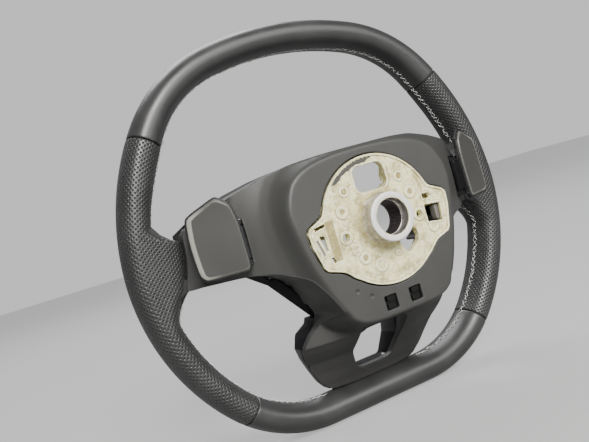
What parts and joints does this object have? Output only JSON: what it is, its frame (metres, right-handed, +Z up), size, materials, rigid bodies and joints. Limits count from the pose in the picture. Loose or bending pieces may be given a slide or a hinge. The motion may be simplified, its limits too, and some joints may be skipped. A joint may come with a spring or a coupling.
{
  "type": "car steering wheel",
  "caption": "Flat-bottomed leather car steering wheel without its airbag, with cast hub, shift paddles, switch blocks and a split lower spoke.",
  "frame": {"origin": "on the column axis, in the rear end face of the cast boss, at the mouth of its smooth bore", "axes": "+X to the driver's right, +Y along the column axis away from the driver, +Z up in the wheel's straight-ahead position"},
  "size_m": [0.3594, 0.121, 0.3374],
  "materials": {
    "cast_metal": "raw pale die casting, slightly grainy",
    "steel": "plain steel",
    "foam": "moulded foam skin",
    "smooth_leather": "smooth black leather with a soft sheen",
    "perforated_leather": "black leather with fine perforation",
    "grained_plastic": "dark grey, finely grained",
    "satin_plastic": "satin black",
    "black_plastic": "plain black",
    "gloss_plastic": "high gloss black",
    "paddle_metal": "satin grey lacquer",
    "silicone": "translucent silicone",
    "board": "green solder mask",
    "key_plastic": "satin black with fine edges"
  },
  "bodies": {
    "wheel": {"armature": "cast_metal", "splined_insert": "steel", "rim_foam": "foam", "leather_top": "smooth_leather", "leather_bottom": "smooth_leather", "leather_grip_left": "perforated_leather", "leather_grip_right": "perforated_leather", "rear_cover": "grained_plastic", "cover_clip": "black_plastic", "front_trim": "satin_plastic", "lower_spoke_trim": "gloss_plastic", "paddle_base_left": "black_plastic", "paddle_base_right": "black_plastic", "hinge_pin_left": "steel", "hinge_pin_right": "steel", "return_spring_left": "steel", "return_spring_right": "steel", "microswitch_left": "black_plastic", "microswitch_right": "black_plastic", "switch_housing_left": "satin_plastic", "switch_housing_right": "satin_plastic", "switch_mat_left": "silicone", "switch_mat_right": "silicone", "switch_board_left": "board", "switch_board_right": "board", "switch_screws_left": "steel", "switch_screws_right": "steel"},
    "paddle_left": {"paddle_plate_left": "paddle_metal", "paddle_lever_left": "black_plastic"},
    "up_key_left": {"key_up_left": "key_plastic"},
    "down_key_left": {"key_down_left": "key_plastic"},
    "inner_key_left": {"key_inner_left": "key_plastic"},
    "outer_key_left": {"key_outer_left": "key_plastic"},
    "centre_key_left": {"key_centre_left": "key_plastic"},
    "paddle_right": {"paddle_plate_right": "paddle_metal", "paddle_lever_right": "black_plastic"},
    "up_key_right": {"key_up_right": "key_plastic"},
    "down_key_right": {"key_down_right": "key_plastic"},
    "inner_key_right": {"key_inner_right": "key_plastic"},
    "outer_key_right": {"key_outer_right": "key_plastic"},
    "centre_key_right": {"key_centre_right": "key_plastic"}
  },
  "joints": [
    {"name": "paddle_pull_left", "type": "hinge", "parent": "wheel", "child": "paddle_left", "pos_m": [-0.10233, -0.04531, 0.013], "axis": [0, 0, 1], "range_deg": [0, 4], "stiffness_Nm_per_rad": 0.8},
    {"name": "paddle_pull_right", "type": "hinge", "parent": "wheel", "child": "paddle_right", "pos_m": [0.10233, -0.04531, 0.013], "axis": [0, 0, -1], "range_deg": [0, 4], "stiffness_Nm_per_rad": 0.8},
    {"name": "up_press_left", "type": "slide", "parent": "wheel", "child": "up_key_left", "axis": [0, 1, 0], "range_m": [0, 0.0008], "stiffness_N_per_m": 1500},
    {"name": "down_press_left", "type": "slide", "parent": "wheel", "child": "down_key_left", "axis": [0, 1, 0], "range_m": [0, 0.0008], "stiffness_N_per_m": 1500},
    {"name": "inner_press_left", "type": "slide", "parent": "wheel", "child": "inner_key_left", "axis": [0, 1, 0], "range_m": [0, 0.0008], "stiffness_N_per_m": 1500},
    {"name": "outer_press_left", "type": "slide", "parent": "wheel", "child": "outer_key_left", "axis": [0, 1, 0], "range_m": [0, 0.0008], "stiffness_N_per_m": 1500},
    {"name": "centre_press_left", "type": "slide", "parent": "wheel", "child": "centre_key_left", "axis": [0, 1, 0], "range_m": [0, 0.0008], "stiffness_N_per_m": 1500},
    {"name": "up_press_right", "type": "slide", "parent": "wheel", "child": "up_key_right", "axis": [0, 1, 0], "range_m": [0, 0.0008], "stiffness_N_per_m": 1500},
    {"name": "down_press_right", "type": "slide", "parent": "wheel", "child": "down_key_right", "axis": [0, 1, 0], "range_m": [0, 0.0008], "stiffness_N_per_m": 1500},
    {"name": "inner_press_right", "type": "slide", "parent": "wheel", "child": "inner_key_right", "axis": [0, 1, 0], "range_m": [0, 0.0008], "stiffness_N_per_m": 1500},
    {"name": "outer_press_right", "type": "slide", "parent": "wheel", "child": "outer_key_right", "axis": [0, 1, 0], "range_m": [0, 0.0008], "stiffness_N_per_m": 1500},
    {"name": "centre_press_right", "type": "slide", "parent": "wheel", "child": "centre_key_right", "axis": [0, 1, 0], "range_m": [0, 0.0008], "stiffness_N_per_m": 1500}
  ]
}
